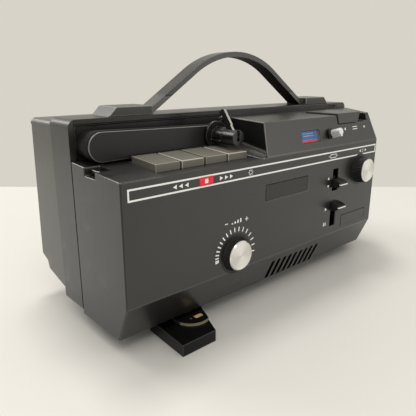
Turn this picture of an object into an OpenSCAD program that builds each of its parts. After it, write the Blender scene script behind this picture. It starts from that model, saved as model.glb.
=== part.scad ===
// Compact 8 mm movie projector with a folding reel arm, piano keys, carry handle and a swing-out foot.
// Case frame: X runs from the left end to the lens end, Y from the control face to the back,
// Z up from the underside. place() moves that frame to the middle of the part, on the table.

/* [Case] */
// Length of the middle shell, the longest part of the case
mid_l = 339; // [330:1:350]
// How far the lens end runs on past the control face
end_run = 39; // [34:1:44]
// Height of the control face's top edge
face_h = 113; // [110:0.5:115]
// Height of the control face's bottom edge, where the chamfer starts
chamfer_h = 28; // [24:1:31]
// How far the chamfer runs in under the body
chamfer_d = 12.7; // [9:0.1:14]
// Depth of the front shell
front_d = 64.4; // [63:0.2:68]
// Depth of the middle shell
mid_d = 29.6; // [27:0.2:34]
// Corner radius of the middle shell
mid_r = 6; // [4:0.5:9]
// Height of the raised block above the control face
block_rise = 26.5; // [25:0.5:28]
// Height of the middle shell above the raised block
mid_rise = 6.1; // [5:0.1:9]
// How far the upper panel leans back
lean_d = 7.5; // [5:0.5:9]
// Depth of the slanted corner at the lens end
corner_d = 44; // [38:1:48]
// Lean of the lens end above the control face, in degrees
end_lean = 24; // [10:1:30]
// Wall thickness of the mouldings
wall = 2.6; // [2.2:0.1:3]
// Parting gap between the front and middle shells
seam = 0.5; // [0.3:0.1:0.8]

/* [Reel bay] */
// Length of the reel bay at the front
bay_l = 132; // [128:1:136]
// Extra length of the reel bay at the back
bay_slant = 20; // [12:1:24]
// Rise of the ledge from front to back
ledge_rise = 4.2; // [3:0.1:4.6]
// Depth of the step in the bay's back wall
bay_step = 1.2; // [1:0.1:3]
// Width of the rim round the bay's back wall
bay_rim = 5.2; // [4:0.2:7]
// Depth of the bulkhead behind the bay
bulkhead = 5; // [4.5:0.1:6]

/* [Rear cover] */
// Depth of the chamfer at the bottom of the lens end
end_chamfer = 7; // [5:0.5:10]
// Corner radius of the rear cover's top
rear_r = 5; // [3:0.5:6]
// How far the rear cover is set in from the middle shell
rear_inset = 3; // [2:0.5:4]
// Depth of the rear cover at its foot
rear_d = 50; // [48:1:58]
// Lean of the back from foot to top
rear_lean = 6; // [3:0.5:8]
// Height of the underside where the cover meets the middle shell
rear_z = 5; // [3:0.5:6]

/* [Reel arm] */
// Half height of the arm at its pivot
arm_r = 10.8; // [9.5:0.1:11.2]
// Half height of the arm at the spindle
arm_tip_r = 8.4; // [7.5:0.1:10]
// Thickness of the arm
arm_t = 10; // [9:0.5:11]
// Thickness of the arm's front cover
arm_cover_t = 2; // [1.5:0.1:2.5]
// Distance from the pivot to the spindle
arm_l = 102.5; // [95:0.5:106]
// Radius of the pivot pin
pivot_r = 5; // [4:0.1:6]
// Radius of the spindle's hub, for 8 mm reels
hub_r = 6.25; // [5.5:0.05:6.4]
// Length of the spindle's hub
hub_l = 24.5; // [19:0.5:27]
// Radius of the spindle's flange
flange_r = 11.6; // [9:0.1:11.7]
// Length of the reel latch
latch_l = 25.5; // [18:0.5:26]

/* [Keys and knobs] */
// Width of a key with its gap
key_pitch = 22.3; // [21:0.1:23]
// Depth of a key
key_d = 29; // [25:0.5:30]
// Height of a key above the key well
key_h = 5.5; // [4.5:0.1:6.5]
// Travel of a key
key_travel = 3.5; // [2.5:0.1:4]
// Radius of the film speed knob
speed_r = 13.8; // [12:0.1:15]
// Height of the film speed knob
speed_h = 6.6; // [5:0.1:9]
// Radius of the focus knob
focus_r = 13.2; // [11:0.1:14]
// Height of the focus knob
focus_h = 10.6; // [8:0.1:12]
// Width of a lever's thumb piece
lever_w = 12; // [9:0.5:14]
// Travel of the still lever
still_travel = 17; // [12:0.5:18]
// Upward travel of the frame lever
frame_up = 10; // [6:0.5:11]
// Downward travel of the frame lever
frame_down = 4; // [2:0.5:5]
// Travel of the loop lever
loop_travel = 9; // [6:0.5:10]

/* [Handle] */
// Width of the strap
strap_w = 15; // [12:0.5:20]
// Thickness of the strap
strap_t = 4.4; // [3.5:0.1:5]
// Radius of the strap's crown
strap_r = 92; // [70:1:100]
// Angle of the strap's flanks in degrees
strap_a = 33.5; // [30:0.5:36]
// Distance between the two handle blocks
strap_span = 196; // [180:1:200]
// Height of a handle block
block_t = 7; // [5:0.1:8]
// Width of a handle block
block_w = 26.2; // [22:0.2:27]

/* [Feet] */
// Height of the underside above the table
stand_h = 12; // [10:0.5:15]
// How far the swing foot reaches in front of the control face
foot_reach = 16.5; // [12:0.5:20]
// Radius of the swing foot's pivot disc
foot_disc_r = 15; // [13:0.5:16]
// Radius of a rubber foot
rubber_r = 8; // [6:0.5:10]

/* [Film path] */
// Radius of the lens barrel
lens_r = 13.6; // [12:0.1:13.8]
// Length of the lens barrel
lens_l = 74; // [66:1:75]
// Focus travel of the lens each way
lens_travel = 4; // [2:0.5:4.5]
// Radius of the shutter disc
shutter_r = 28.4; // [26:0.1:28.6]
// Radius of the film sprocket
sprocket_r = 9; // [7:0.5:10]

/* [Drive] */
// Radius of the motor
motor_r = 20; // [16:0.5:21]
// Length of the motor
motor_l = 58; // [50:1:60]
// Radius of the motor's pulley
motor_pulley_r = 6; // [5:0.1:8]
// Radius of the shutter shaft's pulley
main_pulley_r = 18; // [15:0.5:19]
// Radius of the cooling fan
fan_r = 29; // [24:0.5:30]

/* [Hidden] */
$fn = 64;
over = 1;            // overshoot of a cut past a face
fit = 0.05;          // running fit of a shaft in its bore
gap = 0.3;           // clearance between pieces that move past each other
face_l = mid_l - end_run;
block_h = face_h + block_rise;
mid_h = block_h + mid_rise;
rear_y = front_d + mid_d;
back_y = rear_y + rear_d;
rear_top = mid_h - rear_inset;
corner_a = atan2(corner_d, mid_l - face_l);
panel_a = atan2(block_h - face_h, lean_d);
chamfer_a = atan2(-chamfer_h, chamfer_d);
chamfer_l = norm([chamfer_d, chamfer_h]);
ledge_a = atan2(ledge_rise, front_d);
bay_past = 4;        // how far the bay's tilted cut runs past the front shell's back
bay_run = bay_slant * (front_d + bay_past + over) / (front_d + 2 * over);
well_z = face_h - 0.5;
key_x = 34.2;
key_y = 12.8;
key_drop = 6;
key_gap = 2;
key_rise = 2;
key_count = 4;
keys_end = key_x + key_count * key_pitch;
stem_r = 2.5;
stem_l = 14.5;
switch_z = well_z - key_drop - key_travel - 3;
switch_h = stem_l + 1.5;
arm_y = 45;
arm_x = 15;
arm_z = face_h + ledge_rise + 10.6;
spindle_x = arm_x + arm_l;
core_r = 3;
rib_w = 1.6;
rib_h = 1;
flange_t = 2.6;
hub_y = arm_y - gap - flange_t - hub_l;
latch_y = hub_y + 4;
head_l = latch_y - hub_y + 9.1;
latch_t = 2.2;
latch_w = 6;
latch_tip_r = 2.4;
root_w = 4.4;
tab_at = 10;
grip_l = 3;
grip_r = 1.4;
latch_a = 36;
latch_pin_r = 1;
knob_gap = 0.4;
cap_t = 1.4;
speed_x = 98.8;
speed_z = 42;
focus_x = face_l - 30;
focus_z = 86;
knob_shaft_r = 3;
focus_shaft_r = 4;
lever_x = face_l - 69.5;
lever_h = 8.8;
lever_reach = 9.5;
lever_stem_w = 8.5;
lever_stem_h = 6;
slide_w = 17;
slide_h = 12;
slide_t = 2;
frame_z = 78;
still_z = 56;
window_x = face_l - 120.5;
window_w = 26;
window_s = 6.6;
window_h = 10.3;
window_deep = 2;
label_w = 22;
selector_x = face_l - 80;
selector_s = 11.8;
selector_r = 4.6;
selector_collar = 2.6;
selector_l = 9.2;
selector_knob_r = 3.1;
selector_rib_w = 2.6;
selector_rib_h = 1.2;
selector_shaft_r = 1.8;
loop_x = face_l - 64;
loop_w = 32;
loop_skew = 7;
loop_end = loop_x + loop_w + loop_skew + loop_travel + 2;
loop_z = face_h + 19;
loop_y = 43;
loop_proud = 1.6;
name_x = 132;
name_w = 55;
name_z = 78;
name_h = 13;
plate_t = 0.8;
blank_x = face_l - 55;
blank_w = 43;
blank_z = 32;
blank_h = 11;
vent_n = 9;
vent_x = face_l - 150.5;
vent_pitch = 7.85;
vent_w = 4.2;
vent_top = 8;
notch_y = 30;
notch_d = 15;
notch_w = 12;
roller_r = 1.9;
roller_x = 6;
roller_z = face_h - 0.2;
roller_pin_r = 0.9;
optic_y = 36;
optic_z = 68;
glass_r = 10.5;
glass_t = 3;
mount_x = face_l - 17;
mount_w = 26;
mount_t = 3.2;
gate_x = face_l - 47;
gate_t = 2;
film_gap = 0.6;
lens_x = gate_x + 2 * gate_t + film_gap + lens_travel + 2.4;
sprocket_x = face_l - 28;
sprocket_z = face_h - 3;
sprocket_shaft_r = 2;
plate_y = front_d - 2;
plate_low = 12;
plate_high = 124;
shaft_y = 33;
shaft_z = 43;
shaft_r = 3;
motor_y = rear_y + 12;
pulley_x = face_l - 88;
pulley_w = 8;
belt_w = 5;
belt_t = 1.6;
motor_x = pulley_x - motor_l - 12;
shaft_run = 10;
shaft_end = 2;
shutter_gap = 13;
shutter_t = 1.4;
bearing_run = 9;
bearing_gap = 7;
bearing_t = 3;
bearing_w = 7;
bearing_h = 8;
sprocket_w = 10;
sprocket_run = 2;
bracket_t = 2;
fan_w = 22;
fan_x = motor_x - fan_w - 8;
lamp_r = 25;
lamp_x = face_l - 150;
lamp_d = 40;
lamp_wall = 2;
holder_t = 2;
plate_x = lamp_x + lamp_d + holder_t + over;
core_x = mid_l - 99;
core_w = 56;
core_d = 48;
core_z = 22;
core_h = 46;
limb_w = 10;
board_x = 22;
board_w = fan_x - board_x - 2;
board_z = 36;
board_h = 70;
post_x = 14;
post_z = 32;
post_r = 5;
screw_r = 1.7;
screw_head_r = 3.4;
screw_seat = rear_y + 16;
strap_y = front_d + (mid_d - strap_w) / 2;
strap_low = mid_h + 0.4;
strap_sink = 2.2;
strap_foot = 1.6;
strap_lap = 0.03;
block_y = front_d + (mid_d - block_w) / 2;
strap_x = (mid_l - strap_span) / 2;
block_l = 39;
block_ramp = 7.2;
tongue_l = 12;
tongue_t = 3;
foot_x = 62;
foot_y = 17;
foot_pin_r = 4;
foot_front_l = 32.5;
foot_front_r = 63;
foot_tip = 3;
foot_top = 1;
disc_t = 1.4;
disc_fore = 6;
foot_back = foot_y + 10;
foot_back_r = foot_x + 18.4;
detent_w = 7;
detent_d = 3.6;
detent_y = foot_y - 14;
exhaust_n = 8;
exhaust_x = 140;
exhaust_z = 64;
exhaust_pitch = 8;
exhaust_w = 3.2;
exhaust_l = 90;
slit_x = mid_l - 34;
slit_w = 14;
slit_z = mid_h - 4.6;
slit_h = 2;
posts = [for (x = [post_x, mid_l - post_x], z = [post_z, mid_h - post_x]) [x, z]];
inlet_x = 32;
inlet_w = 28;
inlet_z = 40;
inlet_h = 22;
inlet_y = back_y - rear_lean - 3;
inlet_rim = 4;
inlet_wall = 3;
inlet_d = 16;
blade_w = 1.5;
blade_h = 3;
blade_gap = 5;

// Puts the case frame at the middle of the part, standing on the table
module place() translate([-mid_l / 2, -(back_y - foot_reach) / 2, stand_h]) children();

// A box between two corners
module block(a, b) translate(a) cube(b - a);

// A (Y, Z) outline drawn out along X
module along_x(outline, x0, x1)
  translate([x0, 0, 0]) rotate([90, 0, 90]) linear_extrude(x1 - x0) polygon(outline);

// An (X, Z) outline drawn out along Y
module along_y(outline, y0, y1)
  translate([0, y1, 0]) rotate([90, 0, 0]) linear_extrude(y1 - y0) polygon(outline);

// An (X, Y) outline drawn out along Z
module along_z(outline, z0, z1)
  translate([0, 0, z0]) linear_extrude(z1 - z0) polygon(outline);

// Round bars along the three axes
module rod_x(p, r, l) translate(p) rotate([0, 90, 0]) cylinder(r = r, h = l);
module rod_y(p, r, l) translate(p) rotate([-90, 0, 0]) cylinder(r = r, h = l);
module rod_z(p, r, l) translate(p) cylinder(r = r, h = l);

// Frame of the leaning upper panel: x along it, y up it, z out of it
module on_panel() translate([0, 0, face_h]) rotate([panel_a, 0, 0]) children();

// Frame of the chamfer: x along it, y down it, z into the body
module on_chamfer() translate([0, 0, chamfer_h]) rotate([chamfer_a, 0, 0]) children();

// A slot with round ends, along y
module slot(w, l, t) {
  translate([-w / 2, w / 2, 0]) cube([w, l - w, t]);
  translate([0, w / 2, 0]) cylinder(d = w, h = t);
  translate([0, l - w / 2, 0]) cylinder(d = w, h = t);
}

// Outline of a box with round corners in the XZ plane, drawn out along Y
module round_box(x0, x1, z0, z1, r, y0, y1)
  translate([0, y1, 0]) rotate([90, 0, 0]) linear_extrude(y1 - y0) {
    translate([x0 + r, z0]) square([x1 - x0 - 2 * r, z1 - z0]);
    translate([x0, z0 + r]) square([x1 - x0, z1 - z0 - 2 * r]);
    for (x = [x0 + r, x1 - r], z = [z0 + r, z1 - r]) translate([x, z]) circle(r);
  }

// Outer form of the front shell, with its chamfer, leaning panel and slanted lens end
module front_form() difference() {
  intersection() {
    along_x([[chamfer_d, 0], [front_d - seam, 0], [front_d - seam, block_h], [lean_d, block_h],
      [0, face_h], [0, chamfer_h]], 0, mid_l);
    along_z([[0, 0], [face_l, 0], [mid_l, corner_d], [mid_l, front_d], [0, front_d]],
      -over, block_h + over);
  }
  translate([face_l, 0, face_h]) rotate([0, 0, corner_a]) rotate([-end_lean, 0, 0])
    translate([-corner_d, -corner_d, 0]) cube([3 * corner_d, corner_d, corner_d]);
  end_cut(0);
}

// What the chamfer takes off the bottom of the lens end, drawn in by a wall
module end_cut(inset) translate([face_l, 0, chamfer_h]) rotate([0, 0, corner_a])
  rotate([atan(end_chamfer / chamfer_h), 0, 0])
    translate([-corner_d, -corner_d, -2 * corner_d]) cube([3 * corner_d, corner_d + inset, 2 * corner_d]);

// Space inside the front shell, open at the back
module front_space() {
  inset = wall * norm([1 / chamfer_d, 1 / chamfer_h]);
  bay_back = bay_l + bay_slant + wall;
  top_front = lean_d + wall;
  difference() {
    intersection() {
      along_x([[chamfer_d * (1 + inset - wall / chamfer_h), wall], [front_d, wall],
        [front_d, well_z - wall], [wall, well_z - wall],
        [wall, chamfer_h * (1 + inset - wall / chamfer_d)]], wall, mid_l - wall);
      along_z([[0, wall], [face_l + wall * (cos(corner_a) - 1) / sin(corner_a), wall],
        [mid_l - wall, ((mid_l - wall - face_l) * sin(corner_a) + wall) / cos(corner_a)],
        [mid_l - wall, front_d], [0, front_d]], 0, block_h);
    }
    end_cut(wall);
  }
  block([bay_back, top_front, well_z - wall - over], [loop_x - wall, front_d, block_h - wall]);
  block([loop_x - wall - over, top_front, well_z - wall - over],
    [loop_end - wall, front_d, loop_z - wall]);
}

// Openings in the control face, for the knobs, levers, plates and vents
module face_cuts() {
  rod_y([speed_x, -over, speed_z], knob_shaft_r + gap, wall + 2 * over);
  rod_y([focus_x, -over, focus_z], focus_shaft_r + fit, wall + 2 * over);
  lever_slot(frame_z - frame_down, frame_z + frame_up);
  lever_slot(still_z - still_travel, still_z);
  block([name_x, -over, name_z], [name_x + name_w, plate_t, name_z + name_h]);
  block([blank_x, -over, blank_z], [blank_x + blank_w, plate_t, blank_z + blank_h]);
  on_chamfer() for (i = [0 : vent_n - 1]) translate([vent_x + i * vent_pitch, vent_top, -over])
    slot(vent_w, chamfer_l - vent_top - wall / 2, 3 * wall);
}

// One upright slot for a lever that travels between two heights
module lever_slot(low, high) block(
  [lever_x - lever_stem_w / 2 - gap, -over, low - lever_stem_h / 2 - gap],
  [lever_x + lever_stem_w / 2 + gap, wall + over, high + lever_stem_h / 2 + gap]);

// Openings in the upper panel and the top beside it
module panel_cuts() {
  on_panel() {
    translate([window_x, window_s, -window_deep]) cube([window_w, window_h, window_deep + over]);
    translate([selector_x, selector_s, -4 * wall])
      cylinder(r = selector_shaft_r + fit, h = 4 * wall + over);
  }
  block([loop_x - gap, -over, loop_z - gap], [loop_end, loop_y + gap, block_h + over]);
  block([loop_end - 9, lean_d + 2 * wall, loop_z - 2 * wall], [loop_end - gap, optic_y + 5, loop_z]);
}

// Front moulding: control face, key ledge, raised block and slanted lens end
module front_shell() place() color("#3d3d3b") difference() {
  front_form();
  translate([0, 0, face_h]) rotate([ledge_a, 0, 0])
    along_z([[-over, -over], [bay_l, -over], [bay_l + bay_run, front_d + bay_past],
      [-over, front_d + bay_past]], 0, mid_h);
  block([key_x - over, -over, well_z], [keys_end + 3, key_y + key_d + gap, mid_h]);
  block([key_x - gap, key_y - gap, well_z - wall - over], [keys_end + gap, key_y + key_d + gap, mid_h]);
  front_space();
  face_cuts();
  panel_cuts();
  block([-over, notch_y, roller_z - roller_r - 0.7], [notch_w, notch_y + notch_d, mid_h]);
  for (y = [notch_y - wall, notch_y + notch_d])
    rod_y([roller_x, y - over, roller_z], roller_pin_r, wall + 2 * over);
  rod_x([face_l, optic_y, optic_z], lens_r + 4 * gap, mid_l - face_l + over);
  rod_z([foot_x, foot_y, -over], foot_pin_r, wall + 2 * over);
}

// Middle moulding: bulkhead behind the mechanism, with the bay's back wall and the handle's seat
module middle_shell() place() color("#403f3d") difference() {
  union() {
    difference() {
      round_box(0, mid_l, 0, mid_h, mid_r, front_d, rear_y);
      round_box(wall, mid_l - wall, wall, mid_h - wall, mid_r - wall, front_d + bulkhead, rear_y + over);
    }
    for (p = posts) rod_y([p[0], front_d + bulkhead - over, p[1]], post_r, mid_d - bulkhead + over);
  }
  block([bay_rim, front_d - over, face_h], [bay_l + bay_slant, front_d + bay_step, mid_h - bay_rim + 1]);
  rod_y([arm_x, front_d - over, arm_z], pivot_r, bulkhead + 2 * over);
  block([pulley_x - 2, front_d - over, shaft_z - main_pulley_r - 4 * belt_t],
    [pulley_x + pulley_w + 2, front_d + bulkhead + over, shaft_z + main_pulley_r + 4 * belt_t]);
  block([slit_x, front_d - over, slit_z], [slit_x + slit_w, front_d + bay_step, slit_z + slit_h]);
  for (p = posts) rod_y([p[0], rear_y - mid_d / 2, p[1]], screw_r, mid_d / 2 + over);
}

// (Y, Z) outline of the rear cover, drawn in by a wall
function rear_outline(w) = [[rear_y - w, rear_z + w], [back_y - 12.5 - w, rear_z + 9 + w],
  [back_y - 10 - w, rear_z + 16 + w], [back_y - w, rear_z + 20 + w],
  [back_y - rear_lean - w, rear_top - w], [rear_y - w, rear_top - w]];

// Rear moulding: closes the motor and lamp space, with exhaust slots and a recessed mains inlet
module rear_cover() place() color("#454442") difference() {
  intersection() {
    along_x(rear_outline(0), rear_inset, mid_l - rear_inset);
    union() {
      block([rear_inset + rear_r, rear_y - over, 0],
        [mid_l - rear_inset - rear_r, back_y + over, mid_h]);
      block([rear_inset - over, rear_y - over, 0],
        [mid_l - rear_inset + over, back_y + over, rear_top - rear_r]);
      for (x = [rear_inset + rear_r, mid_l - rear_inset - rear_r])
        rod_y([x, rear_y - over, rear_top - rear_r], rear_r, rear_d + 2 * over);
    }
  }
  difference() {
    along_x(rear_outline(wall), rear_inset + wall, mid_l - rear_inset - wall);
    for (p = posts) rod_y([p[0], rear_y, p[1]], post_r, rear_d);
    block([inlet_x - wall, inlet_y - wall, inlet_z - wall],
      [inlet_x + inlet_w + wall, back_y, inlet_z + inlet_h + wall]);
  }
  for (p = posts) {
    rod_y([p[0], rear_y - over, p[1]], screw_r + gap, rear_d);
    rod_y([p[0], screw_seat, p[1]], screw_head_r + gap, rear_d);
  }
  for (i = [0 : exhaust_n - 1]) translate([exhaust_x, back_y, exhaust_z + exhaust_pitch * i])
    rotate([90, 0, 0]) rotate([0, 0, -90]) slot(exhaust_w, exhaust_l, rear_lean + 2 * wall);
  block([inlet_x, inlet_y, inlet_z], [inlet_x + inlet_w, back_y + over, inlet_z + inlet_h]);
  block([inlet_x + inlet_rim, inlet_y - wall - over, inlet_z + inlet_rim],
    [inlet_x + inlet_w - inlet_rim, back_y, inlet_z + inlet_h - inlet_rim]);
}

// Steel plate on the bulkhead that carries the gate, lens and shafts
module mechanism_plate() place() color("silver") difference() {
  union() {
    block([plate_x, plate_y, plate_low], [mid_l - plate_low, front_d, well_z - wall - over]);
    block([plate_x, plate_y, plate_low], [loop_end - wall - over, front_d, plate_high]);
  }
  block([pulley_x - 2, plate_y - over, shaft_z - main_pulley_r - 4 * belt_t],
    [pulley_x + pulley_w + 2, front_d + over, shaft_z + main_pulley_r + 4 * belt_t]);
  rod_y([sprocket_x, plate_y - over, sprocket_z], sprocket_shaft_r + fit, 2 + 2 * over);
}

// Piano key with a sloping top and a guide stem
module key(i, tint) place() color(tint) {
  z0 = well_z - key_drop;
  x0 = key_x + i * key_pitch + key_gap / 2;
  along_x([[key_y, z0], [key_y + key_d, z0], [key_y + key_d, well_z + key_h + key_rise],
    [key_y, well_z + key_h]], x0, x0 + key_pitch - key_gap);
  rod_z([key_x + (i + 0.5) * key_pitch, key_y + key_d / 2, z0 - stem_l], stem_r, stem_l + over);
}
module key_reverse() key(0, "#6b695f");
module key_off() key(1, "#6b695f");
module key_forward() key(2, "#6b695f");
module key_lamp() key(3, "#6b695f");

// Switch block under the keys, fixed to the bulkhead
module key_switch() place() color("#d8d2c0") difference() {
  block([key_x, key_y + 2, switch_z - switch_h], [keys_end, front_d, switch_z]);
  for (i = [0 : key_count - 1])
    rod_z([key_x + (i + 0.5) * key_pitch, key_y + key_d / 2, switch_z - switch_h + 2],
      stem_r + fit, switch_h);
}

// Knob with a tapered skirt and a plain shaft
module knob(x, z, r, h, shaft_r, shaft_l) translate([x, -knob_gap, z]) rotate([90, 0, 0]) {
  cylinder(r1 = r, r2 = r - 1.6, h = h - cap_t - knob_gap);
  translate([0, 0, -shaft_l - knob_gap]) cylinder(r = shaft_r, h = shaft_l + knob_gap + over);
}
module speed_knob() place() color("#1c1c1c") knob(speed_x, speed_z, speed_r, speed_h, knob_shaft_r, 12);
module focus_knob() place() color("#1c1c1c")
  knob(focus_x, focus_z, focus_r, focus_h, focus_shaft_r, optic_y + 8);

// Turned aluminium disc on the front of a knob
module knob_cap(x, z, r, h) rod_y([x, -h, z], r - 2, cap_t);
module speed_knob_cap() place() color("#d9d6ce") knob_cap(speed_x, speed_z, speed_r, speed_h);
module focus_knob_cap() place() color("#d9d6ce") knob_cap(focus_x, focus_z, focus_r, focus_h);

// Speed potentiometer behind the control face
module speed_control() place() color("#8a6d3b") difference() {
  rod_y([speed_x, wall, speed_z], 12, 14);
  rod_y([speed_x, wall - over, speed_z], knob_shaft_r + fit, 12);
}

// Thumb lever with a sloped piece outside, a stem and a slide inside the wall
module lever(z) place() color("#232322") {
  along_x([[-knob_gap, z - lever_h / 2], [-knob_gap, z + lever_h / 2], [-6, z + lever_h / 2 - 1.2],
    [-lever_reach, z + 1.4], [-lever_reach, z - 1.4], [-6, z - lever_h / 2 + 1.2]],
    lever_x - lever_w / 2, lever_x + lever_w / 2);
  block([lever_x - lever_stem_w / 2, -over, z - lever_stem_h / 2],
    [lever_x + lever_stem_w / 2, wall + over, z + lever_stem_h / 2]);
  block([lever_x - slide_w / 2, wall + gap, z - slide_h / 2],
    [lever_x + slide_w / 2, wall + gap + slide_t, z + slide_h / 2]);
}
module frame_lever() lever(frame_z);
module still_lever() lever(still_z);

// Sliding loop lever that caps the film slot at the panel's top
module loop_lever() place() color("#3a3a38") intersection() {
  lean = lean_d / (block_h - face_h);
  front_y = (loop_z - face_h) * lean;
  along_x([[front_y - 0.8, loop_z], [loop_y, loop_z], [loop_y, block_h + loop_proud],
    [lean_d - 0.4, block_h + loop_proud]], loop_x, loop_end);
  along_y([[loop_x, loop_z], [loop_x + loop_w, loop_z], [loop_x + loop_w + loop_skew, block_h + loop_proud],
    [loop_x, block_h + loop_proud]], -over, loop_y + over);
}

// Film format window: printed card and the clear pane over it
module format_label() place() color("#1f6fc0") on_panel()
  translate([window_x + gap, window_s + gap, -window_deep]) cube([label_w, window_h - 2 * gap, plate_t]);
module format_window() place() color("#9fb4c8", 0.35) on_panel()
  translate([window_x + gap, window_s + gap, -window_deep + plate_t])
    cube([window_w - 2 * gap, window_h - 2 * gap, plate_t]);

// Format selector: black collar on the panel and a chromed pointer knob
module selector_base() place() color("#161616") on_panel() translate([selector_x, selector_s, 0])
  difference() {
    cylinder(r = selector_r, h = selector_collar);
    translate([0, 0, -over]) cylinder(r = selector_shaft_r + fit, h = selector_collar + 2 * over);
  }
module selector_knob() place() color("#d8d8d8") on_panel() translate([selector_x, selector_s, 0]) {
  translate([0, 0, -3 * wall]) cylinder(r = selector_shaft_r, h = 3 * wall + selector_collar + gap + over);
  translate([0, 0, selector_collar + gap]) cylinder(r = selector_knob_r, h = selector_l);
  translate([-selector_rib_w / 2, -selector_knob_r - selector_rib_h, selector_collar + gap])
    cube([selector_rib_w, selector_knob_r, selector_l]);
}

// Bare plates set into the control face
module name_plate() place() color("#333331")
  block([name_x + gap, 0, name_z + gap], [name_x + name_w - gap, plate_t, name_z + name_h - gap]);
module blank_cover() place() color("#3d3d3b")
  block([blank_x + gap, 0, blank_z + gap], [blank_x + blank_w - gap, plate_t, blank_z + blank_h - gap]);

// Fixed pivot of the reel arm, pressed into the bulkhead
module arm_pivot() place() color("#9a9a98") {
  pin_y = arm_y + arm_cover_t + gap;
  rod_y([arm_x, pin_y, arm_z], pivot_r, front_d + bulkhead - pin_y);
  rod_y([arm_x, arm_y + arm_t + gap, arm_z], arm_r - 1, front_d + bay_step - arm_y - arm_t - gap);
}

// The reel arm's form between two depths, narrower towards the spindle
module arm_form(inset, y0, y1) {
  big = arm_r - inset;
  small = arm_tip_r - inset;
  turn = acos((big - small) / arm_l);
  rod_y([arm_x, y0, arm_z], big, y1 - y0);
  rod_y([spindle_x, y0, arm_z], small, y1 - y0);
  along_y([[arm_x + big * cos(turn), arm_z + big * sin(turn)],
    [spindle_x + small * cos(turn), arm_z + small * sin(turn)],
    [spindle_x + small * cos(turn), arm_z - small * sin(turn)],
    [arm_x + big * cos(turn), arm_z - big * sin(turn)]], y0, y1);
}

// Folding reel arm with its belt channel, and its front cover
module reel_arm() place() color("#2b2b2a") difference() {
  arm_form(0, arm_y + arm_cover_t, arm_y + arm_t);
  translate([arm_x + 2 * pivot_r, arm_y, arm_z - arm_r / 2]) cube([arm_l - 4 * pivot_r, arm_t / 2, arm_r]);
  rod_y([arm_x, arm_y, arm_z], pivot_r + fit, arm_t + over);
  rod_y([spindle_x, arm_y, arm_z], core_r, arm_t - 2);
}
module arm_cover() place() color("#302f2e") difference() {
  arm_form(0.4, arm_y, arm_y + arm_cover_t);
  rod_y([spindle_x, arm_y - over, arm_z], core_r, arm_cover_t + 2 * over);
}

// Turning sleeve of the spindle: flange and a hub with three driving ribs
module reel_spindle() place() color("#1a1a1a") translate([spindle_x, 0, arm_z]) difference() {
  union() {
    rod_y([0, hub_y + head_l + gap, 0], hub_r, hub_l - head_l - gap + over);
    rod_y([0, hub_y + hub_l, 0], flange_r, flange_t);
    for (a = [0, 120, 240]) translate([0, hub_y + head_l + gap, 0]) rotate([0, a, 0])
      translate([-rib_w / 2, 0, 0]) cube([rib_w, hub_l - head_l - gap + over, hub_r + rib_h]);
  }
  rod_y([0, hub_y, 0], core_r + fit, hub_l + flange_t + over);
}

// Fixed core of the spindle, pressed into the arm, with a slotted head and the latch's cross pin
module spindle_core() place() color("#1f1f1f") translate([spindle_x, 0, arm_z]) {
  difference() {
    union() {
      rod_y([0, hub_y, 0], hub_r, head_l);
      rod_y([0, hub_y, 0], core_r, arm_y + arm_t - 2 - hub_y);
    }
    translate([-latch_t / 2 - gap, hub_y - over, -root_w / 2 - gap])
      cube([latch_t + 2 * gap, head_l + over, 2 * hub_r]);
  }
  rod_x([-hub_r / 2, latch_y, 0], latch_pin_r, hub_r);
}

// Flip latch that keeps the reel on the hub
module reel_latch() place() color("#c9c9c7") translate([spindle_x - latch_t / 2, latch_y, arm_z])
  rotate([-latch_a, 0, 0]) difference() {
    union() {
      translate([0, -root_w / 2, 0]) cube([latch_t, root_w, tab_at + over]);
      translate([0, -latch_w / 2, tab_at]) cube([latch_t, latch_w, latch_l - tab_at - latch_tip_r]);
      translate([0, latch_tip_r - latch_w / 2, tab_at])
        cube([latch_t, latch_w - latch_tip_r, latch_l - tab_at]);
      rod_x([0, latch_tip_r - latch_w / 2, latch_l - latch_tip_r], latch_tip_r, latch_t);
      rod_x([0, 0, 0], root_w / 2, latch_t);
      rod_y([latch_t / 2, latch_w / 2 - over, latch_l - tab_at / 2], grip_r, grip_l + over);
    }
    rod_x([-over, 0, 0], latch_pin_r + fit, latch_t + 2 * over);
  }

// All that lies under the carry strap's line, drawn in by a thickness: a round crown on two straight flanks
module strap_form(inset, low, y0, y1) {
  middle = strap_x + strap_span / 2;
  half = strap_span / 2 + strap_sink;
  crown_x = strap_r * sin(strap_a);
  crown_z = mid_h + strap_foot + (half - crown_x) * tan(strap_a) - strap_r * cos(strap_a);
  r = strap_r - inset;
  top_x = (r - strap_lap) * sin(strap_a);
  top_z = crown_z + (r - strap_lap) * cos(strap_a);
  reach = top_x + (top_z - low) / tan(strap_a);
  intersection() {
    rod_y([middle, y0, crown_z], r, y1 - y0);
    block([middle - r, y0 - over, top_z - strap_t], [middle + r, y1 + over, top_z + r]);
  }
  along_y([[middle - reach, low], [middle - top_x, top_z], [middle + top_x, top_z], [middle + reach, low]],
    y0, y1);
}

// Carry strap with a tongue in each handle block
module handle_strap() place() color("#2e2e2c") {
  difference() {
    strap_form(0, strap_low, strap_y, strap_y + strap_w);
    strap_form(strap_t, strap_low - over, strap_y - over, strap_y + strap_w + over);
  }
  for (x = [strap_x - tongue_l, strap_x + strap_span - strap_t])
    block([x, strap_y, strap_low], [x + tongue_l + strap_t, strap_y + strap_w, strap_low + tongue_t]);
}

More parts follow.
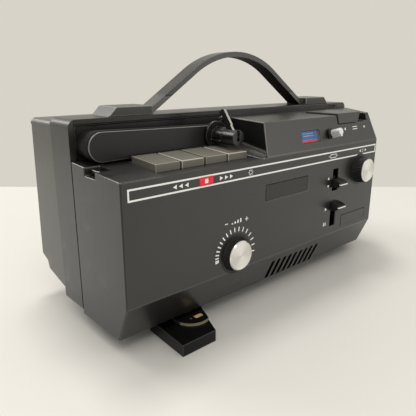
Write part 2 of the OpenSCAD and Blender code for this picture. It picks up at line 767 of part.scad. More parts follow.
// Handle block on the middle shell's top, with a pocket for the strap's tongue
module handle_block() color("#353533") difference() {
  along_y([[0, mid_h], [0, mid_h + block_t], [-block_l + block_ramp, mid_h + block_t], [-block_l, mid_h]],
    block_y, block_y + block_w);
  block([-tongue_l - gap, strap_y - gap, mid_h],
    [over, strap_y + strap_w + gap, strap_low + tongue_t + gap]);
}
module handle_block_left() place() translate([strap_x, 0, 0]) handle_block();
module handle_block_right() place()
  translate([strap_x + strap_span, 0, 0]) mirror([1, 0, 0]) handle_block();

// Swing-out foot: wedge with a round pivot disc on top, and a pocket for the pin's head
module swing_foot() place() color("#0e0e0e") difference() {
  intersection() {
    along_z([[foot_front_l, -foot_reach], [foot_front_r, -foot_reach], [foot_back_r, foot_back],
      [foot_front_l + 2.5, foot_back]], -stand_h - over, 0);
    union() {
      along_x([[-foot_reach - over, -stand_h], [foot_back + over, -stand_h],
        [foot_back + over, -foot_top - disc_t], [foot_y, -foot_top - disc_t],
        [-foot_reach - over, -foot_tip]], 0, foot_back_r);
      rod_z([foot_x, foot_y - disc_fore, -stand_h], foot_disc_r, stand_h - foot_top);
    }
  }
  rod_z([foot_x, foot_y, -stand_h - over], foot_pin_r + fit, stand_h + over);
  rod_z([foot_x, foot_y, -stand_h - over], 2 * foot_pin_r + gap, over + 3);
  block([foot_x - 1, detent_y, -foot_top - plate_t],
    [foot_x - 1 + detent_w, detent_y + detent_d, over]);
}
module foot_pivot() place() color("#8c8c8a") {
  rod_z([foot_x, foot_y, -stand_h + 3 - 2 - gap], foot_pin_r, stand_h - 1 + gap + wall);
  rod_z([foot_x, foot_y, -stand_h + 3 - 2 - gap], 2 * foot_pin_r, 2);
}
module foot_detent() place() color("#c8a05a")
  block([foot_x - 1, detent_y, -foot_top - plate_t],
    [foot_x - 1 + detent_w, detent_y + detent_d, -foot_top]);

// Rubber feet under the other three corners
module rubber_feet() place() color("#141414") {
  spots = [[face_l - 12, front_d - 12], [30, rear_y - 11], [mid_l - 30, rear_y - 11]];
  for (p = spots) rod_z([p[0], p[1], -stand_h], rubber_r, stand_h);
}

// Screws that hold the rear cover to the middle shell
module case_screws() place() color("#8f8f8f")
  for (p = posts) {
    rod_y([p[0], screw_seat, p[1]], screw_head_r, 2.6);
    rod_y([p[0], rear_y - mid_d / 2 + over, p[1]], screw_r, screw_seat - rear_y + mid_d / 2);
  }

// Film exit roller in the left rim's notch, and its pin
module exit_roller() place() color("#b9b9b6") difference() {
  rod_y([roller_x, notch_y + gap, roller_z], roller_r, notch_d - 2 * gap);
  rod_y([roller_x, notch_y - over, roller_z], roller_pin_r + fit, notch_d + 2 * over);
}
module roller_pin() place() color("#8c8c8a")
  rod_y([roller_x, notch_y - wall, roller_z], roller_pin_r, notch_d + 2 * wall);

// Lens: sliding barrel, two glasses and the mount that guides the barrel
module lens_barrel() place() color("#1d1d1d") difference() {
  rod_x([lens_x, optic_y, optic_z], lens_r, lens_l);
  rod_x([lens_x - over, optic_y, optic_z], glass_r - 1, lens_l + 2 * over);
  rod_x([lens_x - over, optic_y, optic_z], glass_r, glass_t + 1 + over);
  rod_x([lens_x + lens_l - glass_t - 2, optic_y, optic_z], glass_r, glass_t + 3);
}
module lens_glass() place() color("#a8c0d8", 0.4) {
  rod_x([lens_x + 1, optic_y, optic_z], glass_r - fit, glass_t);
  rod_x([lens_x + lens_l - glass_t - 2, optic_y, optic_z], glass_r - fit, glass_t);
}
module lens_mount() place() color("#57585a") difference() {
  union() {
    rod_x([mount_x, optic_y, optic_z], lens_r + mount_t, mount_w);
    block([mount_x, optic_y, optic_z - 6], [mount_x + mount_w, plate_y, optic_z + 6]);
  }
  rod_x([mount_x - over, optic_y, optic_z], lens_r + fit, mount_w + 2 * over);
}

// Film gate with its aperture, and the pressure plate in front of it
module gate_plate(x, y0, y1, z0, z1) difference() {
  block([x, y0, z0], [x + gate_t, y1, z1]);
  block([x - over, optic_y - 2.9, optic_z - 2.1], [x + gate_t + over, optic_y + 2.9, optic_z + 2.1]);
}
module film_gate() place() color("#9b9b98")
  gate_plate(gate_x, optic_y - 9, plate_y, optic_z - 17, optic_z + 19);
module pressure_plate() place() color("#77777a")
  gate_plate(gate_x + gate_t + film_gap, optic_y - 7, optic_y + 7, optic_z - 15, optic_z + 15);

// Film sprocket on its cross shaft
module film_sprocket() place() color("#202020") {
  rod_y([sprocket_x, optic_y - sprocket_w / 2, sprocket_z], sprocket_r, sprocket_w);
  rod_y([sprocket_x, optic_y - sprocket_w / 2, sprocket_z], sprocket_shaft_r,
    plate_y + sprocket_run - optic_y + sprocket_w / 2);
  for (i = [0 : 11]) translate([sprocket_x, optic_y - 3, sprocket_z]) rotate([0, 30 * i, 0])
    translate([sprocket_r - 0.5, 0, -0.5]) cube([1.3, 1, 1]);
}

// Lamp: dished reflector with its bulb, the socket behind it and the plate that holds it
module lamp_reflector() place() color("#dcdcd8") translate([lamp_x, optic_y, optic_z]) rotate([0, 90, 0]) {
  difference() {
    cylinder(r1 = lamp_r / 2, r2 = lamp_r, h = lamp_d);
    translate([0, 0, lamp_wall]) cylinder(r1 = lamp_r / 2 - lamp_wall, r2 = lamp_r - lamp_wall, h = lamp_d);
  }
  cylinder(r = 4, h = lamp_d * 0.7);
}
module lamp_socket() place() color("#e6dfcf")
  block([lamp_x - 12, optic_y - 10, optic_z - 8], [lamp_x, optic_y + 10, optic_z + 8]);
module lamp_holder() place() color("#a9a9a6") difference() {
  block([lamp_x + lamp_d, optic_y - lamp_r - 2, optic_z - lamp_r - 2],
    [lamp_x + lamp_d + holder_t, front_d, optic_z + lamp_r + 2]);
  rod_x([lamp_x + lamp_d - over, optic_y, optic_z], lamp_r - 3, holder_t + 2 * over);
}

// Motor behind the bulkhead, its bracket, and its shaft with the small pulley
module motor() place() color("#7d7d7a") difference() {
  rod_x([motor_x, motor_y, shaft_z], motor_r, motor_l);
  rod_x([motor_x - over, motor_y, shaft_z], shaft_r + fit, motor_l + 2 * over);
}
module motor_bracket() place() color("#b5b5b2") difference() {
  block([motor_x + motor_l, front_d + bulkhead, shaft_z - motor_r],
    [motor_x + motor_l + bracket_t, motor_y + motor_r, shaft_z + motor_r]);
  rod_x([motor_x + motor_l - over, motor_y, shaft_z], 2 * shaft_r, bracket_t + 2 * over);
}
module motor_shaft() place() color("#c2c2c0") {
  rod_x([fan_x, motor_y, shaft_z], shaft_r, pulley_x + pulley_w - fan_x);
  pulley(motor_y, motor_pulley_r);
}

// Flanged belt pulley, and the flat belt round both
module pulley(y, r) {
  rod_x([pulley_x, y, shaft_z], r, pulley_w);
  for (x = [pulley_x, pulley_x + pulley_w - 1]) rod_x([x, y, shaft_z], r + belt_t + 1, 1);
}
module belt_side(extra) {
  x0 = pulley_x + (pulley_w - belt_w) / 2;
  run = motor_y - shaft_y;
  tilt = asin((main_pulley_r - motor_pulley_r) / run);
  rod_x([x0 - extra, shaft_y, shaft_z], main_pulley_r + belt_t - extra, belt_w + 2 * extra);
  rod_x([x0 - extra, motor_y, shaft_z], motor_pulley_r + belt_t - extra, belt_w + 2 * extra);
  big = main_pulley_r + belt_t - extra;
  small = motor_pulley_r + belt_t - extra;
  along_x([[shaft_y + big * sin(tilt), shaft_z + big * cos(tilt)],
    [motor_y + small * sin(tilt), shaft_z + small * cos(tilt)],
    [motor_y + small * sin(tilt), shaft_z - small * cos(tilt)],
    [shaft_y + big * sin(tilt), shaft_z - big * cos(tilt)]], x0 - extra, x0 + belt_w + extra);
}
module drive_belt() place() color("#181818") difference() {
  belt_side(0);
  belt_side(belt_t - fit);
}

// Cooling fan on the motor's other end: hub, back disc and straight blades
module cooling_fan() place() color("#4a4a4a") difference() {
  union() {
    rod_x([fan_x, motor_y, shaft_z], 2 * shaft_r, fan_w);
    rod_x([fan_x, motor_y, shaft_z], fan_r, 2);
    for (i = [0 : 15]) translate([fan_x, motor_y, shaft_z]) rotate([22.5 * i, 0, 0])
      translate([1, fan_r / 2, -0.7]) cube([fan_w - 1, fan_r / 2 - 1, 1.4]);
  }
  rod_x([fan_x - over, motor_y, shaft_z], shaft_r, fan_w + 2 * over);
}

// Shutter shaft with its large pulley, the shutter disc and the two bearings
module main_shaft() place() color("#c2c2c0") {
  rod_x([pulley_x - shaft_run, shaft_y, shaft_z], shaft_r, gate_x - shaft_end - pulley_x + shaft_run);
  pulley(shaft_y, main_pulley_r);
}
module shutter() place() color("#2a2a2a") difference() {
  rod_x([gate_x - shutter_gap, shaft_y, shaft_z], shutter_r, shutter_t);
  rod_x([gate_x - shutter_gap - over, shaft_y, shaft_z], shaft_r, shutter_t + 2 * over);
  for (a = [0, 120, 240]) translate([gate_x - shutter_gap - over, shaft_y, shaft_z]) rotate([a, 0, 0])
    along_x([[shutter_r * 0.35, -shutter_r * 0.14], [shutter_r * 0.86, -shutter_r * 0.38],
      [shutter_r * 0.86, shutter_r * 0.38], [shutter_r * 0.35, shutter_r * 0.14]], 0, 3 * shutter_t);
}
module shaft_bearings() place() color("#b08d4f")
  for (x = [pulley_x - bearing_run, gate_x - bearing_gap]) difference() {
    block([x, shaft_y - bearing_w, shaft_z - bearing_h], [x + bearing_t, plate_y, shaft_z + bearing_h]);
    rod_x([x - over, shaft_y, shaft_z], shaft_r + fit, bearing_t + 2 * over);
  }

// Transformer behind the bulkhead: laminated core and the winding on its middle limb
module transformer_core() place() color("#5c5650") difference() {
  y0 = front_d + bulkhead;
  block([core_x, y0, core_z], [core_x + core_w, y0 + core_d, core_z + core_h]);
  for (z = [core_z + core_h * 0.16, core_z + core_h * 0.62])
    block([core_x + limb_w, y0 - over, z],
      [core_x + core_w - limb_w, y0 + core_d + over, z + core_h * 0.22]);
}
module transformer_coil() place() color("#b5651d") difference() {
  y0 = front_d + bulkhead + gap;
  block([core_x + limb_w + gap, y0, core_z + core_h * 0.16 + gap],
    [core_x + core_w - limb_w - gap, y0 + core_d + limb_w / 2, core_z + core_h * 0.84 - gap]);
  block([core_x, y0 - over, core_z + core_h * 0.38 - gap],
    [core_x + core_w, y0 + core_d, core_z + core_h * 0.62 + gap]);
}

// Circuit board on four spacers, with a capacitor and a heat sink
module circuit_board() place() color("#2f6b3a") {
  y0 = front_d + bulkhead;
  block([board_x, y0 + 4, board_z], [board_x + board_w, y0 + 5.6, board_z + board_h]);
  for (x = [board_x + 6, board_x + board_w - 6], z = [board_z + 6, board_z + board_h - 6])
    rod_y([x, y0, z], 3, 4 + over);
  rod_y([board_x + board_w * 0.27, y0 + 5, board_z + board_h * 0.34], 8, 22);
  block([board_x + board_w * 0.55, y0 + 5, board_z + board_h * 0.49],
    [board_x + board_w * 0.91, y0 + 20, board_z + board_h * 0.8]);
}

// Recessed mains inlet with two contact blades
module mains_inlet() place() color("#121212") {
  rim = inlet_rim + gap;
  core = inlet_rim + inlet_wall;
  difference() {
    union() {
      block([inlet_x + gap, inlet_y, inlet_z + gap],
        [inlet_x + inlet_w - gap, inlet_y + 1.6, inlet_z + inlet_h - gap]);
      block([inlet_x + rim, inlet_y - inlet_d, inlet_z + rim],
        [inlet_x + inlet_w - rim, inlet_y + over, inlet_z + inlet_h - rim]);
    }
    block([inlet_x + core, inlet_y - inlet_d + inlet_wall, inlet_z + core],
      [inlet_x + inlet_w - core, inlet_y + 2, inlet_z + inlet_h - core]);
  }
  for (side = [-1, 1]) translate([inlet_x + (inlet_w - blade_w + side * blade_gap) / 2,
    inlet_y - inlet_d + inlet_wall - over, inlet_z + (inlet_h - blade_h) / 2])
    cube([blade_w, inlet_d - inlet_wall - over, blade_h]);
}

front_shell();
middle_shell();
rear_cover();
mechanism_plate();
key_reverse();
key_off();
key_forward();
key_lamp();
key_switch();
speed_knob();
speed_knob_cap();
speed_control();
focus_knob();
focus_knob_cap();
frame_lever();
still_lever();
loop_lever();
format_window();
format_label();
selector_base();
selector_knob();
name_plate();
blank_cover();
arm_pivot();
reel_arm();
arm_cover();
reel_spindle();
spindle_core();
reel_latch();
handle_strap();
handle_block_left();
handle_block_right();
swing_foot();
foot_pivot();
foot_detent();
rubber_feet();
case_screws();
exit_roller();
roller_pin();
lens_barrel();
lens_glass();
lens_mount();
film_gate();
pressure_plate();
film_sprocket();
lamp_reflector();
lamp_socket();
lamp_holder();
motor();
motor_bracket();
motor_shaft();
cooling_fan();
drive_belt();
main_shaft();
shutter();
shaft_bearings();
transformer_core();
transformer_coil();
circuit_board();
mains_inlet();
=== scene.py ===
"""A compact 8 mm movie projector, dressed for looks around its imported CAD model."""
import math

import bmesh
import bpy
from mathutils import Matrix, Vector


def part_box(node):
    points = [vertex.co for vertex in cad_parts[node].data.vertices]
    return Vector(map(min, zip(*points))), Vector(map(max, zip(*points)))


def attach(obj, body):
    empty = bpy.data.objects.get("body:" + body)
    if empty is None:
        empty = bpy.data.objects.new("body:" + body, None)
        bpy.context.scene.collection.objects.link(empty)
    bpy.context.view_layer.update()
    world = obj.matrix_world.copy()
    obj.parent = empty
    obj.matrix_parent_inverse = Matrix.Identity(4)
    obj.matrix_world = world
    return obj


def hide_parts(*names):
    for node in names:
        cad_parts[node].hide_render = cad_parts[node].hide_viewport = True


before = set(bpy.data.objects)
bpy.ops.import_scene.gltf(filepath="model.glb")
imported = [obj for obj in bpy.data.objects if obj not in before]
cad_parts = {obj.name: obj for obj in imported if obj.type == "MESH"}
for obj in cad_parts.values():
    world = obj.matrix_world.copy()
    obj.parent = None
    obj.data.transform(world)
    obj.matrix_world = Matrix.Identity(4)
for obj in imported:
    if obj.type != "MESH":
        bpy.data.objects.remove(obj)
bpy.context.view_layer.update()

# Viewpoint: the camera stands at the projector's front left, a little above it, where the case's
# straight edges meet as they do in the photograph.
MM = 0.001
eye = Vector((-303.4, -292.85, 185.7)) * MM
looking = Vector((0.6384, 0.7171, -0.2797))
camera = bpy.data.objects.new("camera", bpy.data.cameras.new("camera"))
camera.location = eye
camera.rotation_euler = looking.to_track_quat("-Z", "Y").to_euler()
camera.data.lens = 39.0
camera.data.sensor_width = 36.0
camera.data.clip_start = 0.01
bpy.context.scene.collection.objects.link(camera)
bpy.context.scene.camera = camera
bpy.context.scene.view_settings.view_transform = "Standard"


# Table and room: a pale laminate table top whose far edge lies behind the projector, an even pale wall
# colour beyond it, and soft lamps: one behind at the left, one overhead, a weak one at the right and a
# fill in front. A finish is one material, and sums of its readings are written as plain expressions.
class Reading:
    """A socket of a finish; arithmetic on it adds Math nodes."""

    def __init__(self, finish, socket):
        self.finish = finish
        self.socket = socket

    def math(self, operation, first, second):
        return self.finish.node("ShaderNodeMath", {"operation": operation}, {0: first, 1: second})

    def __add__(self, other):
        return self.math("ADD", self, other)

    def __radd__(self, other):
        return self.math("ADD", other, self)

    def __sub__(self, other):
        return self.math("SUBTRACT", self, other)

    def __rsub__(self, other):
        return self.math("SUBTRACT", other, self)

    def __mul__(self, other):
        return self.math("MULTIPLY", self, other)

    def __rmul__(self, other):
        return self.math("MULTIPLY", other, self)


class Finish:
    """A procedural material that reads object coordinates."""

    def __init__(self, name, **constants):
        self.material = bpy.data.materials.new(name)
        self.material.use_nodes = True
        self.tree = self.material.node_tree
        self.shader = self.tree.nodes["Principled BSDF"]
        for socket, value in constants.items():
            self.shader.inputs[socket.replace("_", " ")].default_value = value
        self.place = self.node("ShaderNodeTexCoord", {}, {}, "Object")

    def node(self, kind, settings, sockets, out=0):
        made = self.tree.nodes.new(kind)
        for name, value in settings.items():
            setattr(made, name, value)
        for name, value in sockets.items():
            self.feed(made.inputs[name], value)
        return Reading(self, made.outputs[out])

    def feed(self, socket, value):
        if isinstance(value, Reading):
            self.tree.links.new(value.socket, socket)
        else:
            socket.default_value = value

    def noise(self, size, detail=2.0, stretch=(1, 1, 1)):
        """Noise whose blotches are about size metres across, drawn out along stretch."""
        where = self.node("ShaderNodeMapping", {}, {"Vector": self.place, "Scale": stretch})
        return self.node("ShaderNodeTexNoise", {}, {"Vector": where, "Scale": 1 / size, "Detail": detail})

    def ramp(self, reading, low, high):
        return self.node("ShaderNodeMapRange", {"interpolation_type": "SMOOTHSTEP"},
                         {"Value": reading, "From Min": low, "From Max": high})

    def mix(self, factor, first, second):
        return self.node("ShaderNodeMix", {"data_type": "RGBA"}, {0: factor, 6: first, 7: second}, 2)

    def shine(self, colour=None, roughness=None, height=None, depth=0.0):
        """Links what varies over the surface to the shader."""
        for socket, value in (("Base Color", colour), ("Roughness", roughness)):
            if value is not None:
                self.feed(self.shader.inputs[socket], value)
        if height is not None:
            bump = self.node("ShaderNodeBump", {}, {"Height": height, "Strength": 1.0, "Distance": depth})
            self.feed(self.shader.inputs["Normal"], bump)
        return self.material


def rgb(code):
    """A colour written as on screen, in the linear values that shaders take."""
    tones = [int(code[i:i + 2], 16) / 255 for i in (1, 3, 5)]
    return tuple(t / 12.92 if t < 0.04045 else ((t + 0.055) / 1.055) ** 2.4 for t in tones) + (1,)


TABLE_DEPTH = 0.70
TABLE_WIDTH = 1.8
heading = math.atan2(looking.y, looking.x)
table_mesh = bmesh.new()
bmesh.ops.create_grid(table_mesh, x_segments=2, y_segments=2, size=0.5)
bmesh.ops.scale(table_mesh, vec=(TABLE_DEPTH, TABLE_WIDTH, 1), verts=table_mesh.verts)
bmesh.ops.rotate(table_mesh, matrix=Matrix.Rotation(heading, 3, "Z"), verts=table_mesh.verts)
table_data = bpy.data.meshes.new("table_top")
table_mesh.to_mesh(table_data)
table = bpy.data.objects.new("table_top", table_data)
bpy.context.scene.collection.objects.link(table)
laminate = Finish("pale_laminate", Roughness=0.5)
table_data.materials.append(laminate.shine(
    colour=laminate.mix(laminate.noise(0.4, 1), rgb("#dcd8cf"), rgb("#e6e2d9"))))

room = bpy.data.worlds.new("room")
bpy.context.scene.world = room
room.use_nodes = True
rays = room.node_tree.nodes.new("ShaderNodeLightPath")
seen = rays.outputs["Is Camera Ray"]
for ray in ("Is Glossy Ray", "Is Transmission Ray"):
    either = room.node_tree.nodes.new("ShaderNodeMath")
    either.operation = "MAXIMUM"
    room.node_tree.links.new(seen, either.inputs[0])
    room.node_tree.links.new(rays.outputs[ray], either.inputs[1])
    seen = either.outputs[0]
wall = room.node_tree.nodes.new("ShaderNodeMix")
wall.data_type = "RGBA"
wall.inputs[6].default_value = (0.58, 0.58, 0.575, 1)
wall.inputs[7].default_value = rgb("#d7d3c8")
room.node_tree.links.new(seen, wall.inputs[0])
room.node_tree.links.new(wall.outputs[2], room.node_tree.nodes["Background"].inputs["Color"])


def lamp(name, place, target, size, watts):
    """A square soft lamp that points at a target."""
    light = bpy.data.objects.new(name, bpy.data.lights.new(name, "AREA"))
    light.data.size = size
    light.data.energy = watts
    light.location = place
    light.rotation_euler = (Vector(target) - Vector(place)).to_track_quat("-Z", "Y").to_euler()
    bpy.context.scene.collection.objects.link(light)


lamp("window_lamp", (-0.65, 1.4, 1.1), (0, 0, 0.08), 0.8, 9)
lamp("ceiling_lamp", (0.1, 0.42, 1.75), (0, 0, 0), 0.45, 11)
lamp("side_fill", (1.0, -1.2, 0.45), (0, 0, 0.12), 0.7, 1.6)
lamp("front_fill", (-0.5, -0.85, 1.75), (0, 0, 0.05), 1.2, 9)


# Case: three charcoal mouldings with a fine spark-eroded texture, the front one with the controls, the
# middle one a bulkhead with the handle, the rear one a cover painted lighter as painted light. The bay, the
# bulkhead's face in it and the inside of the vent slots are painted black as painted shade, the front's left
# vertical edge is painted dark as a painted reflection, and the edges leave the mould slightly round, their
# rounds on the front and the bay wall's edge painted lighter as a painted highlight.
left, face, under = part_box("front_shell")[0]
SHARP = math.radians(28)
LONG_SHARP = math.radians(10)
LONG_EDGE = 150 * MM


def softened(node, radius, steps=2, shortest=0.0, spare=None, rim=0):
    """A copy of a CAD solid, its sharp edges rounded but for those to spare, with a slot for the rounds."""
    form = bmesh.new()
    form.from_mesh(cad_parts[node].data)
    bmesh.ops.remove_doubles(form, verts=form.verts, dist=0.002 * MM)
    bmesh.ops.dissolve_limit(form, angle_limit=math.radians(1.5), verts=form.verts, edges=form.edges)
    edges = []
    for edge in form.edges:
        length = edge.calc_length()
        least_turn = SHARP if length < LONG_EDGE else LONG_SHARP
        if not edge.is_manifold or length <= shortest * MM or (spare and spare(edge)):
            continue
        if edge.calc_face_angle() > least_turn:
            edges.append(edge)
    rounds = bmesh.ops.bevel(form, geom=edges, offset=radius * MM, offset_type="OFFSET", segments=steps,
                             profile=0.5, affect="EDGES", clamp_overlap=shortest == 0, material=-1)
    for round_face in rounds["faces"]:
        round_face.material_index = rim
    return form


def finished(name, form, body, slot, material, *nodes, smooth=35, rim=None):
    """Makes a piece of a bmesh, shaded smooth up to an angle, on its body and in place of its CAD nodes."""
    data = bpy.data.meshes.new(name)
    form.to_mesh(data)
    form.free()
    piece = bpy.data.objects.new(name, data)
    bpy.context.scene.collection.objects.link(piece)
    data.materials.append(material)
    if rim:
        data.materials.append(rim)
    data.shade_smooth()
    data.set_sharp_from_angle(angle=math.radians(smooth))
    weighted = piece.modifiers.new("weighted_normals", "WEIGHTED_NORMAL")
    weighted.keep_sharp = True
    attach(piece, body)
    if nodes:
        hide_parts(*nodes)
    return piece


def moulding(name, dark, light, roughness, texture=0.35, depth=0.03, gloss=0.45):
    """Moulded plastic: slow drift of tone, fine texture, a few handling marks that polish it."""
    plastic = Finish(name, Specular_IOR_Level=gloss)
    drift = plastic.noise(60 * MM, 3)
    grain = plastic.noise(texture * MM, 2)
    rubbed = plastic.ramp(plastic.noise(18 * MM, 4), 0.56, 0.78)
    return plastic.shine(colour=plastic.mix(drift * 0.7 + grain * 0.3, rgb(dark), rgb(light)),
                         roughness=roughness + grain * 0.14 - rubbed * 0.1,
                         height=grain, depth=depth * MM)


# Rounded edges of the front moulding: polished, with their colour painted lighter as a painted highlight.
polished_highlight_edge = moulding("polished_charcoal_edge_painted_highlight", "#2f2e2b", "#393835", 0.2, 0.35, 0.005, 0.9)
charcoal = moulding("charcoal_moulding", "#191918", "#20201f", 0.27, 0.35, 0.012, 0.75)
# The rear cover is the same charcoal painted lighter: painted light for the brighter light that falls on the
# back of the case.
rear_lit_charcoal = moulding("rear_charcoal_painted_light", "#3d3b38", "#474540", 0.28, 0.35, 0.012, 0.85)

CHAMFER_TOP = 27 * MM
SLOT_EDGE = 30 * MM
SLOTS_MIDDLE = 185 * MM
SLOTS_REACH = 45 * MM
LEDGE_HEIGHT = 113 * MM
BAY_TOP = 140 * MM
BAY_LENGTH = 132 * MM
BAY_DEPTH = 64 * MM
BAY_SLANT = 20 / 64.4
LEDGE_SLOPE = 4.2 / 64.4
PANEL_LEAN = 7.5 / 26.5
RIM, VENT, BAY_EDGE_HIGHLIGHT, PAINTED_DARK = 1, 2, 3, 4


def in_vent(edge):
    """Whether an edge belongs to the vent slots in the chamfer."""
    return edge.verts[0].co.z < under + CHAMFER_TOP and edge.calc_length() < SLOT_EDGE


def add_bay_round(form, foot, along, radius, steps):
    """Adds the hollow round at the foot of the reel bay's end wall, trimmed to the leaning panel."""
    up = Vector((0, 0, 1))
    off = Vector((-along.y, along.x, 0)).normalized()
    strip = bmesh.new()
    bmesh.ops.spin(strip, geom=[strip.verts.new(foot + up * radius)], cent=foot + (up + off) * radius,
                   axis=off.cross(up), angle=math.pi / 2, steps=steps)
    arc = strip.verts[:]
    swept = bmesh.ops.extrude_edge_only(strip, edges=strip.edges[:])
    far = [part for part in swept["geom"] if isinstance(part, bmesh.types.BMVert)]
    bmesh.ops.translate(strip, verts=far, vec=along * BAY_DEPTH)
    for vertex in arc:
        vertex.co += along * (0.05 * MM + (vertex.co.z - foot.z) * PANEL_LEAN)
    # The round's faces take the rim slot, whose finish on the front moulding is painted lighter as a painted
    # highlight.
    for hollow in strip.faces:
        hollow.material_index = RIM
    strip.faces.new([strip.verts.new(foot)] + arc[::-1])
    data = bpy.data.meshes.new("bay_round")
    strip.to_mesh(data)
    strip.free()
    form.from_mesh(data)
    bpy.data.meshes.remove(data)


front_form = softened("front_shell", 0.9, shortest=5, spare=in_vent, rim=RIM)
add_bay_round(front_form, Vector((left + BAY_LENGTH, face, under + LEDGE_HEIGHT)),
              Vector((BAY_SLANT, 1, LEDGE_SLOPE)), 5 * MM, 8)
front = finished("front_moulding", front_form, "body", "case_plastic", charcoal, "front_shell", rim=polished_highlight_edge)
middle = finished("middle_moulding", softened("middle_shell", 1.1, shortest=5), "body", "case_plastic",
                  charcoal, "middle_shell")
# Black for painted shade inside the bay and on the bulkhead's face there, and for a painted dark reflection
# on the front's left vertical edge; matt black for painted shade inside the vent slots.
painted_dark = moulding("painted_shade_and_dark_reflection", "#121212", "#181817", 0.26, 0.35, 0.01, 0.6)
vent_painted_shade = moulding("vent_painted_shade_black", "#030303", "#060606", 0.8, 0.35, 0.01, 0.05)
# The round on the bay wall's front edge is painted light as a painted highlight.
bay_edge_highlight = moulding("bay_edge_painted_highlight", "#66645d", "#74726a", 0.22, 0.35, 0.005, 0.9)
for inner in (vent_painted_shade, bay_edge_highlight, painted_dark):
    front.data.materials.append(inner)
# Faces given painted light: the vent slots' sides painted black as shade, the bay wall's front edge painted
# lighter as a highlight, the front's left vertical round painted dark as a reflection, and the bay's
# left-facing walls painted black as shade.
for side in front.data.polygons:
    spot = side.center - Vector((left, face, under))
    on_rim = side.material_index == RIM
    in_bay = spot.z > LEDGE_HEIGHT and spot.x > 3 * MM
    past_wall = spot.x - BAY_LENGTH - spot.y * BAY_SLANT
    by_slots = spot.z < CHAMFER_TOP and abs(spot.x - SLOTS_MIDDLE) < SLOTS_REACH
    on_wall_edge = on_rim and in_bay and abs(past_wall) < 1.2 * MM and spot.z > LEDGE_HEIGHT + 5 * MM
    to_left = -side.normal.x > (0.87 if on_rim else 0.8)
    on_left_edge = on_rim and spot.x < 2 * MM and abs(side.normal.z) < 0.3
    if by_slots and abs(side.normal.x) > 0.2:
        side.material_index = VENT
    elif on_wall_edge:
        side.material_index = BAY_EDGE_HIGHLIGHT
    elif on_left_edge or (in_bay and to_left):
        side.material_index = PAINTED_DARK
middle.data.materials.append(painted_dark)
# The bulkhead's face inside the bay is painted black as painted shade.
for side in middle.data.polygons:
    spot = side.center - Vector((left, face, under))
    if LEDGE_HEIGHT < spot.z < BAY_TOP and spot.x > 3 * MM and side.normal.y < -0.9:
        side.material_index = 1
finished("rear_moulding", softened("rear_cover", 1.8, 3, shortest=5), "body", "rear_plastic", rear_lit_charcoal,
         "rear_cover")

# Printing on the control face: white and red ink screened on the front moulding, with a scale round the
# speed knob, arrows and bars for the keys and levers, and a red field under the stop key.
INK = 0.05


def front_plane(height, lean):
    """A sheet in millimetres on the front: x along the case, y up from a height, z out of the surface."""
    place = Matrix.Translation((left, face, under + height))
    return place @ Matrix.Rotation(math.pi / 2 - lean, 4, "X") @ Matrix.Diagonal((MM, MM, MM, 1))


control_sheet = front_plane(0, 0)
panel_sheet = front_plane(LEDGE_HEIGHT, math.atan(PANEL_LEAN))


def ink_bar(form, sheet, x0, y0, x1, y1, turn=0):
    """A printed bar between two corners of a sheet, turned about its middle."""
    centre = Matrix.Translation(((x0 + x1) / 2, (y0 + y1) / 2, INK))
    turned = Matrix.Rotation(math.radians(turn), 4, "Z") @ Matrix.Diagonal((x1 - x0, y1 - y0, 1, 1))
    bmesh.ops.create_grid(form, x_segments=1, y_segments=1, size=0.5, matrix=sheet @ centre @ turned)


def ink_spot(form, sheet, x, y, wide, high, sides=24, turn=0):
    """A printed disc, or with three sides an arrow head."""
    sized = Matrix.Translation((x, y, INK)) @ Matrix.Diagonal((wide / 2, high / 2, 1, 1))
    bmesh.ops.create_circle(form, cap_ends=True, radius=1, segments=sides,
                            matrix=sheet @ sized @ Matrix.Rotation(math.radians(turn), 4, "Z"))


def ink_frame(form, sheet, x0, y0, x1, y1, line):
    """A printed rectangle of four bars."""
    for bar in ((x0, y0, x1, y0 + line), (x0, y1 - line, x1, y1), (x0, y0 + line, x0 + line, y1 - line),
                (x1 - line, y0 + line, x1, y1 - line)):
        ink_bar(form, sheet, *bar)


def printed(name, form, tone, other_tone):
    """Screened ink with a slightly uneven film, a tenth of a millimetre thick."""
    bmesh.ops.solidify(form, geom=form.faces[:], thickness=2 * INK * MM)
    bmesh.ops.recalc_face_normals(form, faces=form.faces)
    ink = Finish(name + "_film", Specular_IOR_Level=0.3)
    film = ink.noise(2.2 * MM, 3)
    uneven = ink.mix(ink.ramp(film, 0.35, 0.75), rgb(tone), rgb(other_tone))
    screened = ink.shine(colour=uneven, roughness=0.45 + film * 0.2,
                         height=ink.noise(0.5 * MM), depth=0.01 * MM)
    return finished(name, form, "body", "cream_plastic", screened)


KEY_ROW = 104.1
LAMP_SIGN = 113.5
HAIRLINE = 0.25
SCALE_X, SCALE_Y, SCALE_RADIUS = 98.8, 42, 19.7
TICKS = 18
white_marks = bmesh.new()
ink_frame(white_marks, control_sheet, 4.8, 100.0, 298.2, 108.3, 1.2)
for first, turn in ((41.5, 90), (82.5, -90)):
    for arrow in range(3):
        ink_spot(white_marks, control_sheet, first + 5 * arrow, KEY_ROW, 4.2, 3.6, 3, turn)
ink_spot(white_marks, control_sheet, LAMP_SIGN, KEY_ROW, 2.4, 2.4)
for turn in range(0, 180, 45):
    ink_bar(white_marks, control_sheet, LAMP_SIGN - 2.6, KEY_ROW - HAIRLINE,
            LAMP_SIGN + 2.6, KEY_ROW + HAIRLINE, turn)
ink_frame(white_marks, control_sheet, 219.0, 102.4, 228.5, 105.9, 0.6)
for x0, x1 in ((216.2, 218.0), (229.5, 231.2)):
    ink_bar(white_marks, control_sheet, x0, KEY_ROW - HAIRLINE, x1, KEY_ROW + HAIRLINE)
for x, turn in ((270.0, 90), (279.0, -90)):
    ink_spot(white_marks, control_sheet, x, KEY_ROW, 4.0, 3.4, 3, turn)
ink_bar(white_marks, control_sheet, 274.1, 102.4, 274.9, 105.8)
